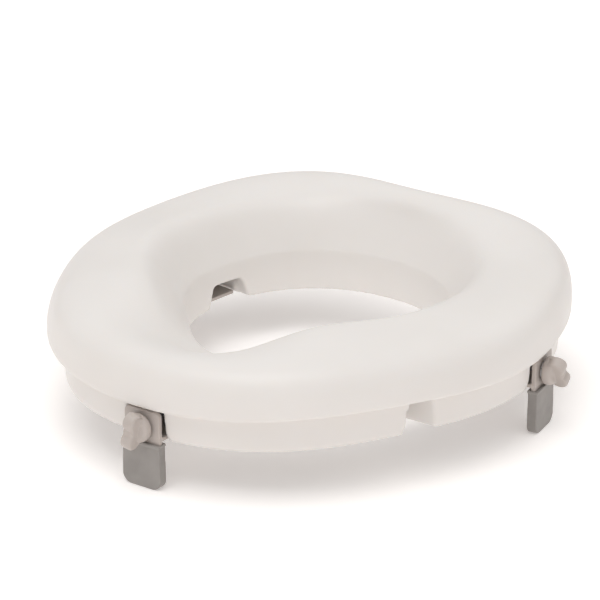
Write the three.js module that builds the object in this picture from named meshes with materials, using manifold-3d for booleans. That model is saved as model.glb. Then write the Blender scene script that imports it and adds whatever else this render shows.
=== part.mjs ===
// Raised toilet seat: a hollow moulded seat that stands on the rim of a toilet bowl, held by three
// screw clamps, one at the front and one on each side. Each clamp is a hanging arm with a rubber
// boot, drawn in or let out along a channel under the seat by a knob on a threaded stud.
// Millimetres, +Z up, the front of the seat towards -Y, the user's left on +X. While the parts are
// drawn, z = 0 is the plane where the skirts stand on the bowl.
import * as THREE from 'three';
import { mergeGeometries, mergeVertices } from 'three/addons/utils/BufferGeometryUtils.js';
import Module from 'manifold-3d';

// ---------------------------------------------------------------- driving dimensions
const seatWall = 4;            // moulded wall thickness
const skirtDraft = 1.2;        // the skirt leans in this much towards its foot
const boreDraft = 2;           // the inner wall leans in this much towards its foot
const shoulderWidth = 36.2;    // soft outer shoulder, measured inwards
const shoulderDrop = 32.8;     // and downwards
const segments = 90;           // stations around the seat

// plan outlines and heights as cosine series of the angle from the front of the seat
const rimSeries = [202.05, -10.8, 1.7, 8.4, -4.95, 2.8, -3.1, 0.5];   // widest outline of the rim
const boreSeries = [105.0, -26.5, 7.1, 3.4, 2.0, 0.7, -0.6];          // edge of the middle opening
const edgeHeight = [32.2, -1.7, -0.5, -0.3];                          // crease above the inner wall
const crestHeight = [66.9, -5.9, -8.8, -6.1, -3.6, -2.4, -1.7];       // ridge around the opening
const topHeight = [71.0, -7.1, 4.8, -1.6, -0.4];                      // top just inside the shoulder
const insetSeries = [10.4, 1.1, -1.7, -1.8, -0.1];                    // skirt stands in from the rim
const lipHeight = [29.4, -0.6, -0.2, -1.2, -1.4];                     // underside of the rim's lip
const dishSeries = [26.8, 5.4, -1.4];                                 // ridge stands back from the opening

// arched channels of the clamps and the two plain notches: half widths at the roof and low down, then
// a flare of the skirt's corner towards the foot
const channelArch = { roof: 16.4, low: 16.7, flare: 6.8, flareHeight: 10, height: 24.8 };
const notchArch = { roof: 8.6, low: 11, flare: 3, flareHeight: 5, height: 26 };
const mouthArch = { roof: 15, low: 20, flare: 4, flareHeight: 4, height: 18.3 };
const notchDepth = 32;
const mouthRun = 6;            // the channel narrows to its mouth this far from the opening
const channelLead = 12;        // side channels open this much further forward than their clamps
const sideClampY = 64;         // side clamps sit behind the middle
const notchY = -66;            // notches sit ahead of it

// one clamp, along its own outward axis u, across v and up w, from the face of the skirt
const screwHeight = 10.5;
const plateOut = 3.2, plateThick = 3.5, plateWidth = 32, plateTop = 23.5, plateFoot = -36;
const tongueLength = 75, tongueThick = 3, tongueWidth = 34, tongueBottom = 0.8;
const bootWidth = 35, bootTaper = 0.8, bootTop = -1.7, bootFoot = -38.5;
const bootWall = 1.8, bootRound = 8, bootLip = 0.7, bootLipHeight = 2.2;
const studRadius = 3, studIn = -56, studOut = 13;
const boreClear = 0.4;
const washerRadius = 8, washerThick = 1.4;
const clipRadius = 6, clipThick = 1.2;
const nutAcross = 10, nutThick = 6.5, nutOut = -33;
const bridgeThick = 11, bridgeFoot = 4.2;   // cross wall of the channel that holds the captive nut
const hubRadius = 11.3, hubLength = 8.5, wingThick = 9.5, wingReach = 17.5, lobeRadius = 7, lobeSpread = 7.5;
const gap = 0.3;               // clearance between pieces

// ---------------------------------------------------------------- materials
const paint = (name, color, roughness, metalness = 0) =>
  Object.assign(new THREE.MeshStandardMaterial({ color, roughness, metalness }), { name });
const seatPlastic = paint('seat_plastic', 0xe6e2dc, 0.42);
const clampPlastic = paint('clamp_plastic', 0xdfd6cd, 0.45);
const bootRubber = paint('boot_rubber', 0x96918c, 0.75);
const zincSteel = paint('zinc_steel', 0xb9bcc0, 0.35, 0.9);

// ---------------------------------------------------------------- seat surface
const series = (c, a) => c.reduce((sum, ck, k) => sum + ck * Math.cos(k * a), 0);

// cubic B-spline through a clamped uniform knot row, used for the profile of the top
function spline(points, t) {
  const degree = 3, spans = points.length - degree;
  const knot = (i) => Math.min(Math.max((i - degree) / spans, 0), 1);
  const span = Math.min(Math.floor(t * spans), spans - 1) + degree;
  const d = points.slice(span - degree, span + 1).map((p) => [...p]);
  for (let r = 1; r <= degree; r += 1) {
    for (let j = degree; j >= r; j -= 1) {
      const lo = knot(j + span - degree), hi = knot(j + 1 + span - r);
      const f = (t - lo) / (hi - lo);
      d[j] = [d[j - 1][0] * (1 - f) + d[j][0] * f, d[j - 1][1] * (1 - f) + d[j][1] * f];
    }
  }
  return d[degree];
}

// profile of the top at one angle, from the crease (t = 0) over the ridge to the shoulder (t = 1)
function topAt(a, t) {
  const rim = series(rimSeries, a), bore = series(boreSeries, a), dish = series(dishSeries, a);
  const edge = series(edgeHeight, a), crest = series(crestHeight, a), top = series(topHeight, a);
  return spline([
    [bore, edge],
    [bore + 0.5 * dish, edge + 0.6 * (crest - edge)],
    [bore + dish, crest + 2],
    [(bore + dish + rim - shoulderWidth) / 2, (crest + top) / 2 + 2],
    [rim - 0.45 * shoulderWidth, top + 2],
    [rim, top - 0.35 * shoulderDrop],
    [rim, top - shoulderDrop],
  ], t);
}

// the same profile moved into the wall by the wall thickness
function underAt(a, t) {
  const h = 0.01, p = topAt(a, t - h), q = topAt(a, t + h), c = topAt(a, t);
  const dr = q[0] - p[0], dz = q[1] - p[1], length = Math.hypot(dr, dz);
  return [c[0] + (dz / length) * seatWall, c[1] - (dr / length) * seatWall];
}

const skirtAt = (a) => series(rimSeries, a) - series(insetSeries, a);

function outerProfile(a) {
  const rim = series(rimSeries, a), skirt = skirtAt(a), bore = series(boreSeries, a);
  const lip = series(lipHeight, a), steps = 16;
  const top = Array.from({ length: steps + 1 }, (_, i) => topAt(a, 1 - i / steps));
  return [
    [skirt - skirtDraft - 1.2, 0], [skirt - skirtDraft, 1.2], [skirt, lip - 1.5],
    [skirt + 1.5, lip], [rim - 2.5, lip], [rim - 0.7, lip + 0.7], [rim, lip + 2.5],
    ...top,
    [bore - boreDraft, 0.8], [bore - boreDraft + 0.8, 0],
  ];
}

function hollowProfile(a) {
  const rim = series(rimSeries, a), skirt = skirtAt(a), bore = series(boreSeries, a);
  const lip = series(lipHeight, a);
  const stations = [0.93, 0.8, 0.68, 0.56, 0.44, 0.33, 0.24, 0.17];
  return [
    [skirt - skirtDraft - seatWall, -4], [skirt - seatWall, lip + seatWall - 2],
    [rim - seatWall, lip + seatWall], ...stations.map((t) => underAt(a, t)),
    [bore + seatWall, series(edgeHeight, a) - 2], [bore - boreDraft + seatWall, -4],
  ];
}

// closed ring swept around the seat from a closed (r, z) profile
function ring(profile) {
  const rows = Array.from({ length: segments }, (_, i) => {
    const a = (i / segments) * 2 * Math.PI;
    return profile(a).map(([r, z]) => [r * Math.sin(a), -r * Math.cos(a), z]);
  });
  const n = rows[0].length, index = [];
  for (let i = 0; i < segments; i += 1) {
    for (let j = 0; j < n; j += 1) {
      const a = i * n + j, b = i * n + ((j + 1) % n);
      const c = ((i + 1) % segments) * n + j, d = ((i + 1) % segments) * n + ((j + 1) % n);
      index.push(a, c, b, b, c, d);
    }
  }
  const geometry = new THREE.BufferGeometry();
  geometry.setAttribute('position', new THREE.Float32BufferAttribute(rows.flat(2), 3));
  geometry.setIndex(index);
  return geometry;
}

// ---------------------------------------------------------------- solids by manifold
const wasm = await Module();
wasm.setup();

function solid(geometry) {
  const g = geometry.clone();
  g.deleteAttribute('normal');
  g.deleteAttribute('uv');
  const merged = mergeVertices(g, 1e-4);
  return new wasm.Manifold(new wasm.Mesh({
    numProp: 3,
    vertProperties: new Float32Array(merged.attributes.position.array),
    triVerts: new Uint32Array(merged.index.array),
  }));
}

function geometryOf(body) {
  const mesh = body.getMesh();
  const geometry = new THREE.BufferGeometry();
  geometry.setAttribute('position', new THREE.Float32BufferAttribute(mesh.vertProperties, 3));
  geometry.setIndex([...mesh.triVerts]);
  const flat = geometry.toNonIndexed();
  flat.computeVertexNormals();
  return flat;
}

// shapes in clamp axes: x = outward u, y = across v, z = up w
const box = (u0, u1, v0, v1, w0, w1) =>
  new THREE.BoxGeometry(u1 - u0, v1 - v0, w1 - w0).translate((u0 + u1) / 2, (v0 + v1) / 2, (w0 + w1) / 2);

// plate of constant section in the v-w plane, from u0 to u1
function slab(shape, u0, u1, curve = 8) {
  return new THREE.ExtrudeGeometry(shape, { depth: u1 - u0, bevelEnabled: false, curveSegments: curve })
    .applyMatrix4(new THREE.Matrix4().makeBasis(
      new THREE.Vector3(0, 1, 0), new THREE.Vector3(0, 0, 1), new THREE.Vector3(1, 0, 0)))
    .translate(u0, 0, 0);
}

// arched outline about v = 0, standing on w = 0 and run a little below it, grown by a wall if asked
function archShape(arch, grow = 0, below = -3) {
  const half = [[arch.low + arch.flare + grow, below]];
  const steps = 6;
  for (let i = 0; i <= steps; i += 1) {
    const turn = (i / steps) * (Math.PI / 2);
    half.push([arch.low + arch.flare * (1 - Math.sin(turn)) + grow, arch.flareHeight * (1 - Math.cos(turn))]);
  }
  half.push([arch.roof + grow, arch.height + grow]);
  const points = [...half, ...half.map(([v, w]) => [-v, w]).reverse()];
  return new THREE.Shape(points.map(([v, w]) => new THREE.Vector2(v, w)));
}

function roundedRect(v0, v1, w0, w1, r) {
  const s = new THREE.Shape();
  s.moveTo(v0 + r, w0).lineTo(v1 - r, w0).absarc(v1 - r, w0 + r, r, -Math.PI / 2, 0, false);
  s.lineTo(v1, w1 - r).absarc(v1 - r, w1 - r, r, 0, Math.PI / 2, false);
  s.lineTo(v0 + r, w1).absarc(v0 + r, w1 - r, r, Math.PI / 2, Math.PI, false);
  s.lineTo(v0, w0 + r).absarc(v0 + r, w0 + r, r, Math.PI, 1.5 * Math.PI, false);
  return s;
}

// round bar along u at screw height
const rod = (radius, u0, u1, sides = 32) =>
  new THREE.CylinderGeometry(radius, radius, u1 - u0, sides)
    .rotateZ(-Math.PI / 2).translate((u0 + u1) / 2, 0, screwHeight);

const collar = (outer, inner, u0, u1) => solid(rod(outer, u0, u1)).subtract(solid(rod(inner, u0 - 1, u1 + 1)));

// ---------------------------------------------------------------- places of the clamps
// the skirt point on one side at a given y, found by walking along the outline
function sideX(outline, y) {
  let best = [Infinity, 0];
  for (let a = 0.5; a < 2.6; a += 0.0005) {
    const r = outline(a), miss = Math.abs(-r * Math.cos(a) - y);
    if (miss < best[0]) best = [miss, r * Math.sin(a)];
  }
  return best[1];
}

const frontU = skirtAt(0), sideU = sideX(skirtAt, sideClampY), notchU = sideX(skirtAt, notchY);
const sideRun = sideU - sideX((a) => series(boreSeries, a), sideClampY - channelLead);
const sideDepth = Math.hypot(sideRun, channelLead);
const sideTurn = THREE.MathUtils.radToDeg(Math.atan2(channelLead, sideRun));
// origin on the skirt, direction of u, depth from the skirt to the opening and turn of the knob's
// wing from upright
const clamps = {
  front: { at: [0, -frontU], turn: -90, depth: frontU - series(boreSeries, 0), lean: -9 },
  left: { at: [sideU, sideClampY], turn: sideTurn, depth: sideDepth, lean: 32 },
  right: { at: [-sideU, sideClampY], turn: 180 - sideTurn, depth: sideDepth, lean: -12 },
};
const notches = [
  { at: [notchU, notchY], turn: 0 },
  { at: [-notchU, notchY], turn: 180 },
];
const placed = (place) => new THREE.Matrix4()
  .makeTranslation(place.at[0], place.at[1], 0)
  .multiply(new THREE.Matrix4().makeRotationZ(THREE.MathUtils.degToRad(place.turn)));

// ---------------------------------------------------------------- seat body
function seatBody() {
  const envelope = solid(ring(outerProfile));
  let body = envelope.subtract(solid(ring(hollowProfile)));
  const cuts = [];
  const wallGrow = 3.2, outReach = 30;
  const house = (arch, u0, u1, matrix) => {
    const wall = slab(archShape(arch, wallGrow, 0), u0, u1).applyMatrix4(matrix);
    body = body.add(solid(wall).intersect(envelope));
  };
  for (const place of Object.values(clamps)) {
    const m = placed(place), inner = mouthRun - place.depth;
    house(channelArch, inner - wallGrow, 0, m);
    house(mouthArch, -place.depth - 30, inner, m);
    cuts.push(slab(archShape(mouthArch), -place.depth - 30, inner + 1).applyMatrix4(m));
    // the channel itself, less the bridge that stays across its upper part
    const channel = solid(slab(archShape(channelArch), inner, outReach))
      .subtract(solid(box(nutOut - nutThick, nutOut - nutThick + bridgeThick, -30, 30, bridgeFoot, 40)));
    const pocket = rod((nutAcross / 2 + gap) / Math.cos(Math.PI / 6), nutOut - nutThick - 1, nutOut + gap, 6);
    cuts.push(geometryOf(channel.add(solid(pocket))
      .add(solid(rod(studRadius + boreClear, nutOut - nutThick - 2, nutOut + bridgeThick)))).applyMatrix4(m));
  }
  for (const place of notches) {
    const m = placed(place);
    house(notchArch, -notchDepth - wallGrow, 0, m);
    cuts.push(slab(archShape(notchArch), -notchDepth, outReach).applyMatrix4(m));
  }
  // stiffening ribs under the top, clear of the channels and of the bowl rim
  for (const degrees of [28, 52, 88, 132, 158, 180, 202, 228, 272, 308, 332]) {
    const rib = box(-110, 110, -1.5, 1.5, 12, 90).translate(155, 0, 0)
      .rotateZ(THREE.MathUtils.degToRad(degrees - 90));
    body = body.add(solid(rib).intersect(envelope));
  }
  for (const cut of cuts) body = body.subtract(solid(cut));
  return geometryOf(body);
}

// ---------------------------------------------------------------- clamp pieces, in clamp axes
function clampArm() {
  const inner = plateOut - plateThick;
  const plate = solid(slab(roundedRect(-plateWidth / 2, plateWidth / 2, plateFoot, plateTop, 4), inner, plateOut));
  const tongue = solid(box(inner - tongueLength, inner + 1, -tongueWidth / 2, tongueWidth / 2,
    tongueBottom, tongueBottom + tongueThick));
  return geometryOf(plate.add(tongue).subtract(solid(rod(studRadius + boreClear, inner - 5, plateOut + 5))));
}

// sleeve over the foot of the arm: a little wider towards its rounded bottom, with a raised top lip
function clampBoot() {
  const inner = plateOut - plateThick - gap - bootWall, outer = plateOut + gap + bootWall;
  const half = bootWidth / 2, top = half - bootTaper, r = bootRound;
  const side = new THREE.Shape();
  side.moveTo(-half + r, bootFoot).lineTo(half - r, bootFoot)
    .absarc(half - r, bootFoot + r, r, -Math.PI / 2, 0, false);
  side.lineTo(top, bootTop).lineTo(-top, bootTop).lineTo(-half, bootFoot + r);
  side.absarc(-half + r, bootFoot + r, r, Math.PI, 1.5 * Math.PI, false);
  const lip = box(inner - bootLip, outer + bootLip, -top - bootLip, top + bootLip,
    bootTop - bootLipHeight, bootTop);
  const socket = solid(slab(
    roundedRect(-plateWidth / 2 - gap, plateWidth / 2 + gap, plateFoot - gap, bootTop + 9, 4),
    plateOut - plateThick - gap, plateOut + gap));
  const grooves = [-32, -26, -20, -14, -8]
    .map((w) => solid(box(inner - 1, inner + 0.8, -13, 13, w, w + 2)));
  const block = solid(slab(side, inner, outer, 6)).add(solid(lip)).subtract(socket);
  return geometryOf(grooves.reduce((b, g) => b.subtract(g), block));
}

function clampKnob() {
  const start = plateOut + washerThick + 2 * gap, lobeU = start + wingReach - lobeRadius;
  // domed hub, turned about the screw axis
  const dome = Array.from({ length: 7 }, (_, i) => (i / 6) * (Math.PI / 2))
    .map((t) => new THREE.Vector2(hubRadius - 4 * (1 - Math.cos(t)), hubLength - 5 + 5 * Math.sin(t)));
  const hub = new THREE.LatheGeometry([new THREE.Vector2(0, 0), new THREE.Vector2(hubRadius - 0.8, 0),
    new THREE.Vector2(hubRadius, 0.8), ...dome, new THREE.Vector2(0, hubLength)], 36)
    .rotateZ(-Math.PI / 2).translate(start, 0, screwHeight);
  // blade drawn in the u-w plane: a web from the hub and two round lobes with a waist between them
  const upright = (shape) => solid(
    new THREE.ExtrudeGeometry(shape, { depth: wingThick, bevelEnabled: false, curveSegments: 20 })
      .rotateX(Math.PI / 2).translate(0, wingThick / 2, screwHeight));
  const web = new THREE.Shape([
    new THREE.Vector2(start + 2, 1.5 - hubRadius), new THREE.Vector2(lobeU, -lobeSpread),
    new THREE.Vector2(lobeU + lobeRadius - 1.5, 0),
    new THREE.Vector2(lobeU, lobeSpread), new THREE.Vector2(start + 2, hubRadius - 1.5),
  ]);
  const lobes = [-1, 1].map((s) => upright(new THREE.Shape().absarc(lobeU, s * lobeSpread, lobeRadius, 0, 2 * Math.PI)));
  return geometryOf(solid(hub).add(upright(web)).add(lobes[0]).add(lobes[1])
    .subtract(solid(rod(studRadius + gap, start - 1, studOut + gap))));
}

function clampStud() {
  return geometryOf(solid(rod(studRadius - 0.8, studIn, studIn + 1.5)).add(solid(rod(studRadius, studIn + 1.5, studOut))));
}

const clampWasher = () => geometryOf(
  collar(washerRadius, studRadius + boreClear, plateOut + gap, plateOut + gap + washerThick));

// spring clip behind the plate: a flat ring with a mouth, sprung over the stud
function clampClip() {
  const face = plateOut - plateThick - gap;
  return geometryOf(collar(clipRadius, studRadius + gap, face - clipThick, face)
    .subtract(solid(box(face - clipThick - 1, face + 1, -2.2, 2.2, screwHeight, screwHeight + 20))));
}

function clampNut() {
  const radius = nutAcross / 2 / Math.cos(Math.PI / 6);
  return geometryOf(solid(rod(radius, nutOut - nutThick, nutOut, 6))
    .subtract(solid(rod(studRadius + boreClear, nutOut - nutThick - 1, nutOut + 1))));
}

// ---------------------------------------------------------------- assembly
const seat = new THREE.Group();
seat.name = 'raised_toilet_seat';
function addPiece(name, geometry, material, matrix = new THREE.Matrix4()) {
  const mesh = new THREE.Mesh(geometry.clone().applyMatrix4(matrix), material);
  mesh.name = name;
  seat.add(mesh);
}

addPiece('seat_body', seatBody(), seatPlastic);
const pieces = {
  clamp_arm: [clampArm(), clampPlastic],
  boot: [clampBoot(), bootRubber],
  knob: [clampKnob(), clampPlastic],
  stud: [clampStud(), zincSteel],
  washer: [clampWasher(), zincSteel],
  clip: [clampClip(), zincSteel],
  nut: [clampNut(), zincSteel],
};
for (const [side, place] of Object.entries(clamps)) {
  const leaned = placed(place).multiply(new THREE.Matrix4().makeTranslation(0, 0, screwHeight))
    .multiply(new THREE.Matrix4().makeRotationX(THREE.MathUtils.degToRad(place.lean)))
    .multiply(new THREE.Matrix4().makeTranslation(0, 0, -screwHeight));
  for (const [piece, [geometry, material]] of Object.entries(pieces)) {
    addPiece(`${side}_${piece}`, geometry, material, piece === 'knob' ? leaned : placed(place));
  }
}

// origin: middle of the bounding box in plan, lowest point of the boots in height
const bounds = new THREE.Box3().setFromObject(seat, true);
const middle = bounds.getCenter(new THREE.Vector3());
for (const mesh of seat.children) mesh.geometry.translate(-middle.x, -middle.y, -bounds.min.z);

export default seat;
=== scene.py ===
"""Raised toilet seat: the visual pieces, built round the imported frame.

Metres, +Z up, front of the seat towards -Y, the user's left on +X. The seat and the clamp mouldings
are built from the same dimensions as their solids, then rounded over like moulded plastic.
"""
import math

import bmesh
import bpy
import numpy as np
from mathutils import Matrix, Vector


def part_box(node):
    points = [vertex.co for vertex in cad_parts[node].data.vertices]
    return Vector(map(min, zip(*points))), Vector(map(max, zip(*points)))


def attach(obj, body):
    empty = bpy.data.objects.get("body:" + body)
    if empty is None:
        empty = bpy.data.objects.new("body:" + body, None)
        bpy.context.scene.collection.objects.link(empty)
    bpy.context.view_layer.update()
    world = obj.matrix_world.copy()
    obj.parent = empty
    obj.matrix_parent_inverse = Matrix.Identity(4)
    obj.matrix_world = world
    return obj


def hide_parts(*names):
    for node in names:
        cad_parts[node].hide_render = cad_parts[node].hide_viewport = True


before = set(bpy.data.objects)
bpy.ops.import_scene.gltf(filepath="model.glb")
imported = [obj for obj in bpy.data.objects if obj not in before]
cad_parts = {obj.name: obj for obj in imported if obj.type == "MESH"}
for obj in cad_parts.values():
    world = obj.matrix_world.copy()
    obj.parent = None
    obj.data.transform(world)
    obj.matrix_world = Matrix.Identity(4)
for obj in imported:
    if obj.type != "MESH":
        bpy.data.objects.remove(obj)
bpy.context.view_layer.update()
MM = 0.001

# ---------------------------------------------------------------- camera
TARGET = Vector((-0.0227, 0.0485, 0.0635))
CAMERA = Vector((1.21498, -1.71728, 0.95881))


def add_camera():
    data = bpy.data.cameras.new("camera")
    data.lens, data.sensor_width = 176.34, 36.0
    data.clip_end = 50.0
    camera = bpy.data.objects.new("camera", data)
    camera.location = CAMERA
    camera.rotation_mode = "QUATERNION"
    camera.rotation_quaternion = (TARGET - CAMERA).to_track_quat("-Z", "Y")
    bpy.context.scene.collection.objects.link(camera)
    bpy.context.scene.camera = camera


add_camera()

# ---------------------------------------------------------------- mesh helpers


def new_object(name, mesh):
    piece = bpy.data.objects.new(name, mesh)
    bpy.context.scene.collection.objects.link(piece)
    return piece


def mesh_from(name, verts, faces):
    mesh = bpy.data.meshes.new(name)
    mesh.from_pydata([tuple(v) for v in verts], [], faces)
    mesh.update()
    return mesh


def faced_outwards(mesh):
    """The same mesh with every face of its closed surface turned outwards."""
    bm = bmesh.new()
    bm.from_mesh(mesh)
    bmesh.ops.recalc_face_normals(bm, faces=bm.faces)
    bm.to_mesh(mesh)
    bm.free()
    return mesh


def band_faces(rows, around, closed=False):
    """Quads between neighbouring rows of points, each row running right round."""
    return [(j * around + i, j * around + (i + 1) % around,
             (j + 1) % rows * around + (i + 1) % around, (j + 1) % rows * around + i)
            for j in range(rows if closed else rows - 1) for i in range(around)]


def prism(outline, place, depth):
    """Closed prism: outline points (a, b) carried by place(a, b, k), k running over depth."""
    n = len(outline)
    verts = [place(a, b, k) for k in depth for a, b in outline]
    faces = [tuple(range(n))[::-1], tuple(range(n, 2 * n))]
    faces += [(i, (i + 1) % n, n + (i + 1) % n, n + i) for i in range(n)]
    return faced_outwards(mesh_from("prism", verts, faces))


def along_u(outline, u0, u1):
    """Outline in the v-w plane, run from u0 to u1 (mm)."""
    return prism(outline, lambda v, w, u: (u * MM, v * MM, w * MM), (u0, u1))


def along_v(outline, v0, v1):
    """Outline in the u-w plane, run from v0 to v1 (mm)."""
    return prism(outline, lambda u, w, v: (u * MM, v * MM, w * MM), (v0, v1))


def arc(cx, cy, r, start, stop, steps=10):
    return [(cx + r * math.cos(math.radians(start + (stop - start) * i / steps)),
             cy + r * math.sin(math.radians(start + (stop - start) * i / steps)))
            for i in range(steps + 1)]


def rounded(x0, x1, y0, y1, r):
    return (arc(x1 - r, y0 + r, r, -90, 0) + arc(x1 - r, y1 - r, r, 0, 90)
            + arc(x0 + r, y1 - r, r, 90, 180) + arc(x0 + r, y0 + r, r, 180, 270))


def rectangle(x0, x1, y0, y1):
    return [(x0, y0), (x1, y0), (x1, y1), (x0, y1)]


def disc(cx, cy, r, steps=48):
    return arc(cx, cy, r, 0, 360 - 360 / steps, steps - 1)


def baked(piece, name):
    """The mesh of a piece with its modifiers applied."""
    bpy.context.view_layer.update()
    graph = bpy.context.evaluated_depsgraph_get()
    mesh = bpy.data.meshes.new_from_object(piece.evaluated_get(graph), depsgraph=graph)
    mesh.name = name
    return mesh


def combined(base, add=(), cut=(), both=()):
    """Boolean of closed meshes, as a new mesh."""
    steps = [(m, "UNION") for m in add] + [(m, "INTERSECT") for m in both]
    steps += [(m, "DIFFERENCE") for m in cut]
    piece = new_object("work", base)
    tools = []
    for mesh, operation in steps:
        tool = new_object("tool", mesh)
        modifier = piece.modifiers.new("bool", "BOOLEAN")
        modifier.operation, modifier.object, modifier.solver = operation, tool, "MANIFOLD"
        tools.append(tool)
    mesh = baked(piece, "combined")
    for used in [piece, *tools]:
        bpy.data.objects.remove(used)
    return mesh


def moulded(mesh, voxel, relax=4):
    """Round every edge over by about one voxel, as a mould does, and even the surface out."""
    piece = new_object("work", mesh)
    remesh = piece.modifiers.new("remesh", "REMESH")
    remesh.mode, remesh.voxel_size = "VOXEL", voxel * MM
    smooth = piece.modifiers.new("smooth", "SMOOTH")
    smooth.factor, smooth.iterations = 0.5, relax
    out = baked(piece, "moulded")
    bpy.data.objects.remove(piece)
    for polygon in out.polygons:
        polygon.use_smooth = True
    return out


# ---------------------------------------------------------------- seat surface
# plan outlines and heights (mm) as cosine series of the angle from the front of the seat
RIM = (202.05, -10.8, 1.7, 8.4, -4.95, 2.8, -3.1, 0.5)
BORE = (105.0, -26.5, 7.1, 3.4, 2.0, 0.7, -0.6)
EDGE_HEIGHT = (32.2, -1.7, -0.5, -0.3)
CREST_HEIGHT = (66.9, -5.9, -8.8, -6.1, -3.6, -2.4, -1.7)
TOP_HEIGHT = (71.0, -7.1, 4.8, -1.6, -0.4)
INSET = (10.4, 1.1, -1.7, -1.8, -0.1)
LIP_HEIGHT = (29.4, -0.6, -0.2, -1.2, -1.4)
DISH = (26.8, 5.4, -1.4)
WALL, SKIRT_DRAFT, BORE_DRAFT = 4.0, 1.2, 2.0
SHOULDER_WIDTH, SHOULDER_DROP = 36.2, 32.8
# arches: half width at the roof, half width low down, flare at the foot, flare height, height
CHANNEL = (16.4, 16.7, 6.8, 10.0, 24.8)
NOTCH = (8.6, 11.0, 3.0, 5.0, 26.0)
MOUTH = (15.0, 20.0, 4.0, 4.0, 18.3)
NOTCH_DEPTH, NOTCH_Y, CLAMP_Y = 32.0, -66.0, 64.0
MOUTH_RUN, CHANNEL_LEAD = 6.0, 12.0
SCREW = 10.5                        # height of the screw axis above the foot of the skirt
CHANNEL_WALL = 3.2                  # walls left round the channels and notches
RIB_THICK, RIB_FOOT = 3.0, 12.0
RIB_ANGLES = (28, 52, 88, 132, 158, 180, 202, 228, 272, 308, 332)
# along the screw (mm from the skirt, outwards)
GAP, STUD_BORE = 0.3, 3.4           # clearance between pieces, radius of the bores for the stud
STUD_IN, STUD_OUT, STUD_RADIUS = -56.0, 13.0, 3.0
NUT_OUT, NUT_IN, NUT_POCKET = -33.0, -39.5, 6.12
BRIDGE_OUT, BRIDGE_FOOT = -28.5, 4.2    # cross wall of the channel that holds the captive nut


def series(c, a):
    return sum(ck * np.cos(k * a) for k, ck in enumerate(c))


def seat_centre():
    """Where the series' centre stands in the frame: the rim's outline matched to the seat's box."""
    low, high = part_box("seat_body")
    a = np.linspace(0, math.pi, 1801)
    y = -series(RIM, a) * np.cos(a)
    return Vector(((low[0] + high[0]) / 2, (low[1] + high[1]) / 2 - (y.max() + y.min()) / 2 * MM, low[2]))


SEAT_CENTRE = seat_centre()


def spline(points, t):
    """Cubic B-spline with a clamped uniform knot row."""
    spans = len(points) - 3
    knot = lambda i: min(max((i - 3) / spans, 0.0), 1.0)
    span = min(int(t * spans), spans - 1) + 3
    d = [np.array(p, float) for p in points[span - 3:span + 1]]
    for r in range(1, 4):
        for j in range(3, r - 1, -1):
            lo, hi = knot(j + span - 3), knot(j + 1 + span - r)
            f = (t - lo) / (hi - lo)
            d[j] = d[j - 1] * (1 - f) + d[j] * f
    return d[3]


def top_at(a, t):
    """(r, z) of the top over all angles a: crease at t = 0, ridge, shoulder at t = 1."""
    rim, bore, dish = series(RIM, a), series(BORE, a), series(DISH, a)
    edge, crest, top = series(EDGE_HEIGHT, a), series(CREST_HEIGHT, a), series(TOP_HEIGHT, a)
    return spline([
        (bore, edge),
        (bore + 0.5 * dish, edge + 0.6 * (crest - edge)),
        (bore + dish, crest + 2),
        ((bore + dish + rim - SHOULDER_WIDTH) / 2, (crest + top) / 2 + 2),
        (rim - 0.45 * SHOULDER_WIDTH, top + 2),
        (rim, top - 0.35 * SHOULDER_DROP),
        (rim, top - SHOULDER_DROP),
    ], t)


def under_at(a, t):
    step = 0.01
    dr, dz = top_at(a, t + step) - top_at(a, t - step)
    length = np.hypot(dr, dz)
    r, z = top_at(a, t)
    return np.array((r + dz / length * WALL, z - dr / length * WALL))


def skirt_at(a):
    return series(RIM, a) - series(INSET, a)


def flat(r, z, a):
    return np.array((r + 0 * a, z + 0 * a))


def outer_profile(a):
    rim, skirt, bore = series(RIM, a), skirt_at(a), series(BORE, a)
    lip = series(LIP_HEIGHT, a)
    rows = [flat(skirt - SKIRT_DRAFT - 1.2, 0, a), flat(skirt - SKIRT_DRAFT, 1.2, a),
            flat(skirt, lip - 1.5, a), flat(skirt + 1.5, lip, a),
            flat(rim - 2.5, lip, a), flat(rim - 0.7, lip + 0.7, a), flat(rim, lip + 2.5, a)]
    rows += [top_at(a, t) for t in np.linspace(1, 0, 61)]
    return rows + [flat(bore - BORE_DRAFT, 0.8, a), flat(bore - BORE_DRAFT + 0.8, 0, a)]


def hollow_profile(a):
    rim, skirt, bore = series(RIM, a), skirt_at(a), series(BORE, a)
    lip = series(LIP_HEIGHT, a)
    rows = [flat(skirt - SKIRT_DRAFT - WALL, -4, a), flat(skirt - WALL, lip + WALL - 2, a),
            flat(rim - WALL, lip + WALL, a)]
    rows += [under_at(a, t) for t in np.linspace(0.93, 0.17, 30)]
    return rows + [flat(bore + WALL, series(EDGE_HEIGHT, a) - 2, a),
                   flat(bore - BORE_DRAFT + WALL, -4, a)]


def ring(profile, segments):
    """Closed ring swept round the seat from a closed profile, in the row frame."""
    a = np.arange(segments) * 2 * math.pi / segments
    rows = profile(a)
    verts = []
    for r, z in rows:
        verts += list(zip(r * np.sin(a) * MM + SEAT_CENTRE.x, -r * np.cos(a) * MM + SEAT_CENTRE.y,
                          z * MM + SEAT_CENTRE.z))
    return mesh_from("ring", verts, band_faces(len(rows), segments, closed=True))


def arch_shape(arch, grow=0.0, below=-3.0):
    """Arched outline about v = 0, standing on w = 0 and run a little below it."""
    roof, low, flare, flare_height, height = arch
    half = [(low + flare + grow, below)]
    for i in range(13):
        turn = i / 12 * math.pi / 2
        half.append((low + flare * (1 - math.sin(turn)) + grow, flare_height * (1 - math.cos(turn))))
    half.append((roof + grow, height + grow))
    return half + [(-v, w) for v, w in reversed(half)]


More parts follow.
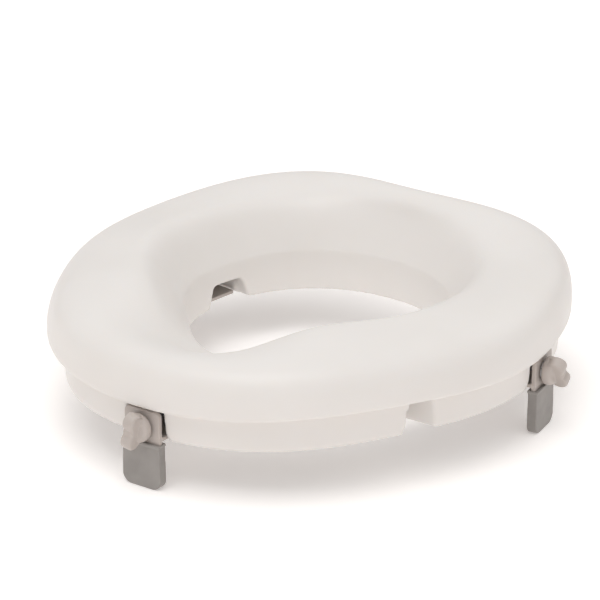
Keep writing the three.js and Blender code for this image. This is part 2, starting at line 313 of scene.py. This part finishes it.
def side_x(outline, y):
    """x of a plan outline on the user's left at a given y (mm from the seat centre)."""
    a = np.linspace(0.5, 2.6, 4001)
    r = outline(a)
    i = int(np.abs(-r * np.cos(a) - y).argmin())
    return float(r[i] * math.sin(a[i]))


def at_skirt(x, y, turn):
    """Clamp axes: u outwards from the skirt, v across, w up from the foot of the skirt."""
    return (Matrix.Translation(SEAT_CENTRE + Vector((x * MM, y * MM, 0)))
            @ Matrix.Rotation(math.radians(turn), 4, "Z"))


CLAMP_X = side_x(skirt_at, CLAMP_Y)
SIDE_RUN = CLAMP_X - side_x(lambda a: series(BORE, a), CLAMP_Y - CHANNEL_LEAD)
SIDE_DEPTH = math.hypot(SIDE_RUN, CHANNEL_LEAD)
SIDE_TURN = math.degrees(math.atan2(CHANNEL_LEAD, SIDE_RUN))
FRONT = float(skirt_at(0.0))
# place, depth from the skirt to the opening, turn of the knob's wing
CLAMPS = {
    "front": (at_skirt(0, -FRONT, -90), FRONT - float(series(BORE, 0.0)), -9),
    "left": (at_skirt(CLAMP_X, CLAMP_Y, SIDE_TURN), SIDE_DEPTH, 32),
    "right": (at_skirt(-CLAMP_X, CLAMP_Y, 180 - SIDE_TURN), SIDE_DEPTH, -12),
}
NOTCH_X = side_x(skirt_at, NOTCH_Y)
NOTCHES = [at_skirt(NOTCH_X, NOTCH_Y, 0), at_skirt(-NOTCH_X, NOTCH_Y, 180)]


def put(mesh, matrix):
    copy = mesh.copy()
    copy.transform(matrix)
    return copy


def seat_shell():
    segments = 288
    envelope = ring(outer_profile, segments)
    shell = combined(envelope.copy(), cut=[ring(hollow_profile, segments)])
    inside, cuts = [], []
    beyond = 30                     # cuts run this far out of the seat
    for matrix, depth, _ in CLAMPS.values():
        inner = MOUTH_RUN - depth
        channel_wall = along_u(arch_shape(CHANNEL, CHANNEL_WALL, 0.0), inner - CHANNEL_WALL, 0)
        mouth_wall = along_u(arch_shape(MOUTH, CHANNEL_WALL, 0.0), -depth - beyond, inner)
        inside += [put(channel_wall, matrix), put(mouth_wall, matrix)]
        bridge = along_u(rectangle(-30, 30, BRIDGE_FOOT, 40), NUT_IN, BRIDGE_OUT)
        cuts += [put(mesh, matrix) for mesh in (
            along_u(arch_shape(MOUTH), -depth - beyond, inner + 1),
            combined(along_u(arch_shape(CHANNEL), inner, beyond), cut=[bridge]),
            along_u(disc(0, SCREW, NUT_POCKET, 6), NUT_IN - 1, NUT_OUT + GAP),
            along_u(disc(0, SCREW, STUD_BORE), NUT_IN - 2, BRIDGE_OUT + 6.5))]
    for matrix in NOTCHES:
        wall = along_u(arch_shape(NOTCH, CHANNEL_WALL, 0.0), -NOTCH_DEPTH - CHANNEL_WALL, 0)
        inside.append(put(wall, matrix))
        cuts.append(put(along_u(arch_shape(NOTCH), -NOTCH_DEPTH, beyond), matrix))
    for degrees in RIB_ANGLES:
        rib = along_u(rectangle(-RIB_THICK / 2, RIB_THICK / 2, RIB_FOOT, 90), 45, 265)
        inside.append(put(rib, Matrix.Translation(SEAT_CENTRE)
                          @ Matrix.Rotation(math.radians(degrees - 90), 4, "Z")))
    inside = [combined(mesh, both=[envelope.copy()]) for mesh in inside]
    shell = combined(shell, add=inside, cut=cuts)
    return moulded(shell, 1.6, 5)


# ---------------------------------------------------------------- clamp pieces, in clamp axes (mm)
PLATE_OUT, PLATE_THICK, PLATE_WIDTH = 3.2, 3.5, 32.0
PLATE_FOOT, PLATE_TOP, PLATE_ROUND = -36.0, 23.5, 4.0
PLATE_IN = PLATE_OUT - PLATE_THICK
TONGUE_WIDTH, TONGUE_FOOT, TONGUE_TOP, TONGUE_LENGTH = 34.0, 0.8, 3.8, 75.0
BOOT_WIDTH, BOOT_TOP, BOOT_FOOT, BOOT_ROUND, BOOT_TAPER = 35.0, -1.7, -38.5, 8.0, 0.8
BOOT_WALL, BOOT_LIP, BOOT_LIP_HEIGHT = 1.8, 0.7, 2.2
GRIP_WIDTH, GRIP_HEIGHT, GRIP_DEPTH, GRIP_FEET = 26.0, 2.0, 0.8, (-32, -26, -20, -14, -8)
HUB_START, HUB_RADIUS, HUB_LENGTH = PLATE_OUT + 2.0, 11.3, 8.5
WING_THICK, WING_REACH, LOBE_RADIUS, LOBE_SPREAD = 9.5, 17.5, 7.0, 7.5


def clamp_arm():
    half = PLATE_WIDTH / 2
    plate = along_u(rounded(-half, half, PLATE_FOOT, PLATE_TOP, PLATE_ROUND), PLATE_IN, PLATE_OUT)
    tongue = along_u(rectangle(-TONGUE_WIDTH / 2, TONGUE_WIDTH / 2, TONGUE_FOOT, TONGUE_TOP),
                     PLATE_IN - TONGUE_LENGTH, PLATE_IN + 1)
    bore = along_u(disc(0, SCREW, STUD_BORE), PLATE_IN - 5, PLATE_OUT + 5)
    return moulded(combined(plate, add=[tongue], cut=[bore]), 0.5, 3)


def clamp_boot():
    """Rubber sleeve: a little wider towards its rounded bottom, with a raised top lip."""
    inner, outer = PLATE_IN - GAP - BOOT_WALL, PLATE_OUT + GAP + BOOT_WALL
    half, r = BOOT_WIDTH / 2, BOOT_ROUND
    neck, reach = half - BOOT_TAPER, PLATE_WIDTH / 2 + GAP
    outline = (arc(half - r, BOOT_FOOT + r, r, -90, 0) + [(neck, BOOT_TOP), (-neck, BOOT_TOP)]
               + arc(r - half, BOOT_FOOT + r, r, 180, 270))
    lip = along_u(rounded(-neck - BOOT_LIP, neck + BOOT_LIP, BOOT_TOP - BOOT_LIP_HEIGHT, BOOT_TOP, 0.9),
                  inner - BOOT_LIP, outer + BOOT_LIP)
    socket = along_u(rounded(-reach, reach, PLATE_FOOT - GAP, 8, PLATE_ROUND),
                     PLATE_IN - GAP, PLATE_OUT + GAP)
    grooves = [along_u(rectangle(-GRIP_WIDTH / 2, GRIP_WIDTH / 2, w, w + GRIP_HEIGHT),
                       inner - 1, inner + GRIP_DEPTH) for w in GRIP_FEET]
    return moulded(combined(along_u(outline, inner, outer), add=[lip], cut=[socket, *grooves]), 0.45, 5)


def turned(profile, around=64):
    """Solid of revolution about the screw axis from (u, r) points between two ends on the axis."""
    ring_points = [(u, r) for u, r in profile if r > 0]
    verts = [(u * MM, r * math.cos(t) * MM, (SCREW + r * math.sin(t)) * MM)
             for u, r in ring_points for t in (2 * math.pi * i / around for i in range(around))]
    verts += [(profile[0][0] * MM, 0, SCREW * MM), (profile[-1][0] * MM, 0, SCREW * MM)]
    n, first, last = len(ring_points), len(verts) - 2, len(verts) - 1
    faces = band_faces(n, around)
    faces += [(first, (i + 1) % around, i) for i in range(around)]
    faces += [(last, (n - 1) * around + i, (n - 1) * around + (i + 1) % around) for i in range(around)]
    return faced_outwards(mesh_from("turned", verts, faces))


def clamp_knob():
    """Domed hub with one fat wing of two lobes, every edge very soft."""
    start, lobe_u = HUB_START, HUB_START + WING_REACH - LOBE_RADIUS
    dome = [(start + HUB_LENGTH - 5 + 5 * math.sin(t), HUB_RADIUS - 4 * (1 - math.cos(t)))
            for t in (i / 10 * math.pi / 2 for i in range(11))]
    hub = turned([(start, 0), (start, HUB_RADIUS - 0.8), (start + 0.8, HUB_RADIUS), *dome,
                  (start + HUB_LENGTH, 0)])
    half, root = WING_THICK / 2, HUB_RADIUS - 1.5
    web = along_v([(start + 2, SCREW - root), (lobe_u, SCREW - LOBE_SPREAD),
                   (lobe_u + LOBE_RADIUS - 1.5, SCREW), (lobe_u, SCREW + LOBE_SPREAD),
                   (start + 2, SCREW + root)], -half, half)
    lobes = [along_v(disc(lobe_u, SCREW + s * LOBE_SPREAD, LOBE_RADIUS), -half, half) for s in (-1, 1)]
    bore = along_u(disc(0, SCREW, STUD_RADIUS + GAP), start - 1, STUD_OUT + GAP)
    return moulded(combined(hub, add=[web, *lobes], cut=[bore]), 0.6, 32)


def clamp_stud():
    """Threaded stud: a rod whose radius follows a rounded triangular thread."""
    pitch, tip, root = 2.0, STUD_RADIUS, 2.4
    around = 32
    u = np.linspace(STUD_IN, STUD_OUT, int((STUD_OUT - STUD_IN) / pitch * 10) + 1)
    verts = []
    for x in u:
        chamfer = min(1.0, (x - STUD_IN + 0.2) / 1.5)
        for i in range(around):
            turn = 2 * math.pi * i / around
            phase = (x / pitch - i / around) % 1.0
            r = (root + (tip - root) * (0.5 + 0.5 * math.cos(2 * math.pi * phase)))
            r = min(r, root - 0.4 + (tip - root + 0.4) * chamfer)
            verts.append((x * MM, r * math.cos(turn) * MM, (SCREW + r * math.sin(turn)) * MM))
    n = len(u)
    faces = band_faces(n, around)
    faces += [tuple(range(around))[::-1], tuple(range((n - 1) * around, n * around))]
    mesh = mesh_from("stud", verts, faces)
    for polygon in mesh.polygons:
        polygon.use_smooth = len(polygon.vertices) == 4
    return mesh


# ---------------------------------------------------------------- materials


def material(name):
    made = bpy.data.materials.new(name)
    made.use_nodes = True
    nodes, links = made.node_tree.nodes, made.node_tree.links
    shader = next(n for n in nodes if n.type == "BSDF_PRINCIPLED")
    coords = nodes.new("ShaderNodeTexCoord")
    return made, nodes, links, shader, coords.outputs["Object"]


def noise(nodes, links, vector, scale, detail=3.0, roughness=0.5):
    node = nodes.new("ShaderNodeTexNoise")
    node.inputs["Scale"].default_value = scale
    node.inputs["Detail"].default_value = detail
    node.inputs["Roughness"].default_value = roughness
    links.new(vector, node.inputs["Vector"])
    return node.outputs["Fac"]


def spread_colour(nodes, links, factor, dark, light, lo=0.35, hi=0.65):
    ramp = nodes.new("ShaderNodeValToRGB")
    ramp.color_ramp.elements[0].position, ramp.color_ramp.elements[1].position = lo, hi
    ramp.color_ramp.elements[0].color, ramp.color_ramp.elements[1].color = (*dark, 1), (*light, 1)
    links.new(factor, ramp.inputs["Fac"])
    return ramp.outputs["Color"]


def spread_value(nodes, links, factor, lo, hi):
    span = nodes.new("ShaderNodeMapRange")
    span.inputs["From Min"].default_value, span.inputs["From Max"].default_value = 0.3, 0.7
    span.inputs["To Min"].default_value, span.inputs["To Max"].default_value = lo, hi
    links.new(factor, span.inputs["Value"])
    return span.outputs["Result"]


def bump(nodes, links, shader, layers):
    """Bump layers: (height source, distance in metres, strength)."""
    normal = None
    for height, distance, strength in layers:
        node = nodes.new("ShaderNodeBump")
        node.inputs["Distance"].default_value = distance
        node.inputs["Strength"].default_value = strength
        links.new(height, node.inputs["Height"])
        if normal:
            links.new(normal, node.inputs["Normal"])
        normal = node.outputs["Normal"]
    links.new(normal, shader.inputs["Normal"])


def moulded_plastic(name, dark, light, rough, grain):
    """Satin moulded plastic: faint cloudy colour, a soft orange peel and a fine spark-eroded grain."""
    made, nodes, links, shader, vector = material(name)
    cloud = noise(nodes, links, vector, 9.0, 4.0)
    links.new(spread_colour(nodes, links, cloud, dark, light), shader.inputs["Base Color"])
    patches = noise(nodes, links, vector, 30.0, 5.0, 0.6)
    links.new(spread_value(nodes, links, patches, rough - 0.04, rough + 0.05), shader.inputs["Roughness"])
    shader.inputs["Specular IOR Level"].default_value = 0.42
    shader.inputs["Subsurface Weight"].default_value = 0.12
    shader.inputs["Subsurface Radius"].default_value = (1.0, 0.8, 0.6)
    shader.inputs["Subsurface Scale"].default_value = 0.002
    bump(nodes, links, shader, [
        (noise(nodes, links, vector, 260.0, 2.0), 0.00025, 0.10),
        (noise(nodes, links, vector, grain, 2.0, 0.6), 0.00008, 0.22),
    ])
    return made


def grey_rubber():
    made, nodes, links, shader, vector = material("boot_rubber")
    cloud = noise(nodes, links, vector, 60.0, 4.0)
    links.new(spread_colour(nodes, links, cloud, (0.285, 0.268, 0.253), (0.325, 0.306, 0.290)),
              shader.inputs["Base Color"])
    links.new(spread_value(nodes, links, noise(nodes, links, vector, 140.0, 3.0), 0.55, 0.68),
              shader.inputs["Roughness"])
    shader.inputs["Specular IOR Level"].default_value = 0.35
    shader.inputs["Sheen Weight"].default_value = 0.08
    bump(nodes, links, shader, [(noise(nodes, links, vector, 1400.0, 2.0, 0.6), 0.0001, 0.3)])
    return made


def zinc():
    made, nodes, links, shader, vector = material("zinc_steel")
    spangle = noise(nodes, links, vector, 500.0, 2.0)
    links.new(spread_colour(nodes, links, spangle, (0.56, 0.57, 0.58), (0.68, 0.69, 0.71)),
              shader.inputs["Base Color"])
    links.new(spread_value(nodes, links, noise(nodes, links, vector, 900.0, 2.0), 0.25, 0.4),
              shader.inputs["Roughness"])
    shader.inputs["Metallic"].default_value = 1.0
    bump(nodes, links, shader, [(noise(nodes, links, vector, 2500.0, 1.0), 0.00003, 0.3)])
    return made


SEAT_PLASTIC = moulded_plastic("seat_plastic", (0.765, 0.735, 0.705), (0.790, 0.762, 0.735), 0.40, 1500.0)
CLAMP_PLASTIC = moulded_plastic("clamp_plastic", (0.480, 0.430, 0.398), (0.515, 0.463, 0.430), 0.42, 1800.0)
BOOT_RUBBER = grey_rubber()
ZINC = zinc()

# ---------------------------------------------------------------- pieces


def finish_piece(name, mesh, body, look, slot_name, *stands_for):
    mesh.materials.clear()
    mesh.materials.append(look)
    piece = new_object(name, mesh)
    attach(piece, body)
    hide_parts(*stands_for)
    return piece


finish_piece("seat_shell", seat_shell(), "seat", SEAT_PLASTIC, "seat_plastic", "seat_body")

arm, boot, knob, stud = clamp_arm(), clamp_boot(), clamp_knob(), clamp_stud()
for side, (matrix, _, lean) in CLAMPS.items():
    screw_axis = Matrix.Translation((0, 0, SCREW * MM))
    leaned = matrix @ screw_axis @ Matrix.Rotation(math.radians(lean), 4, "X") @ screw_axis.inverted()
    finish_piece(f"{side}_arm_moulding", put(arm, matrix), f"{side}_arm", CLAMP_PLASTIC,
                 "clamp_plastic", f"{side}_clamp_arm")
    finish_piece(f"{side}_rubber_boot", put(boot, matrix), f"{side}_arm", BOOT_RUBBER,
                 "boot_rubber", f"{side}_boot")
    finish_piece(f"{side}_wing_knob", put(knob, leaned), f"{side}_screw", CLAMP_PLASTIC,
                 "clamp_plastic", f"{side}_knob")
    finish_piece(f"{side}_threaded_stud", put(stud, matrix), f"{side}_screw", ZINC,
                 "zinc_steel", f"{side}_stud")
    for part in ("washer", "clip", "nut"):
        node = bpy.data.objects[f"{side}_{part}"]
        for slot_index in range(len(node.material_slots)):
            node.material_slots[slot_index].material = ZINC

# ---------------------------------------------------------------- floor and light


def add_floor():
    made, nodes, links, shader, vector = material("floor")
    cloud = noise(nodes, links, vector, 2.0, 2.0)
    links.new(spread_colour(nodes, links, cloud, (0.935, 0.910, 0.895), (0.950, 0.926, 0.912)),
              shader.inputs["Base Color"])
    shader.inputs["Roughness"].default_value = 0.7
    shader.inputs["Specular IOR Level"].default_value = 0.2
    shader.inputs["Emission Color"].default_value = (1.0, 0.975, 0.96, 1.0)
    shader.inputs["Emission Strength"].default_value = 0.26
    corners = [(-8, -8, 0), (8, -8, 0), (8, 8, 0), (-8, 8, 0)]
    floor = new_object("floor", mesh_from("floor", corners, [(0, 1, 2, 3)]))
    floor.data.materials.append(made)


def add_light(name, place, size, power, colour=(1.0, 1.0, 1.0)):
    data = bpy.data.lights.new(name, "AREA")
    data.shape, data.size, data.energy, data.color = "SQUARE", size, power, colour
    light = bpy.data.objects.new(name, data)
    light.location = place
    light.rotation_mode = "QUATERNION"
    light.rotation_quaternion = (TARGET - Vector(place)).to_track_quat("-Z", "Y")
    bpy.context.scene.collection.objects.link(light)


add_floor()
add_light("key", (0.1, -0.75, 2.5), 1.8, 25.0, (1.0, 0.995, 0.99))
add_light("back", (0.4, 2.2, 1.6), 1.4, 3.0, (1.0, 0.99, 0.97))


def add_world():
    """Even white light, dimmer and warmer towards the horizon; plain white behind the floor."""
    world = bpy.data.worlds.new("world")
    world.use_nodes = True
    nodes, links = world.node_tree.nodes, world.node_tree.links
    coords, split = nodes.new("ShaderNodeTexCoord"), nodes.new("ShaderNodeSeparateXYZ")
    ramp = nodes.new("ShaderNodeValToRGB")
    ramp.color_ramp.elements[0].color = (0.62, 0.56, 0.53, 1.0)
    ramp.color_ramp.elements[1].color = (1.0, 1.0, 1.0, 1.0)
    ramp.color_ramp.elements[1].position = 0.6
    links.new(coords.outputs["Generated"], split.inputs["Vector"])
    links.new(split.outputs["Z"], ramp.inputs["Fac"])
    paths, seen = nodes.new("ShaderNodeLightPath"), nodes.new("ShaderNodeMix")
    seen.data_type = "RGBA"
    colour_in = [socket for socket in seen.inputs if socket.type == "RGBA"]
    colour_out = next(socket for socket in seen.outputs if socket.type == "RGBA")
    colour_in[1].default_value = (1.3, 1.3, 1.3, 1.0)
    links.new(paths.outputs["Is Camera Ray"], seen.inputs["Factor"])
    links.new(ramp.outputs["Color"], colour_in[0])
    links.new(colour_out, nodes["Background"].inputs["Color"])
    nodes["Background"].inputs["Strength"].default_value = 0.74
    bpy.context.scene.world = world


add_world()
bpy.context.scene.view_settings.view_transform = "Standard"
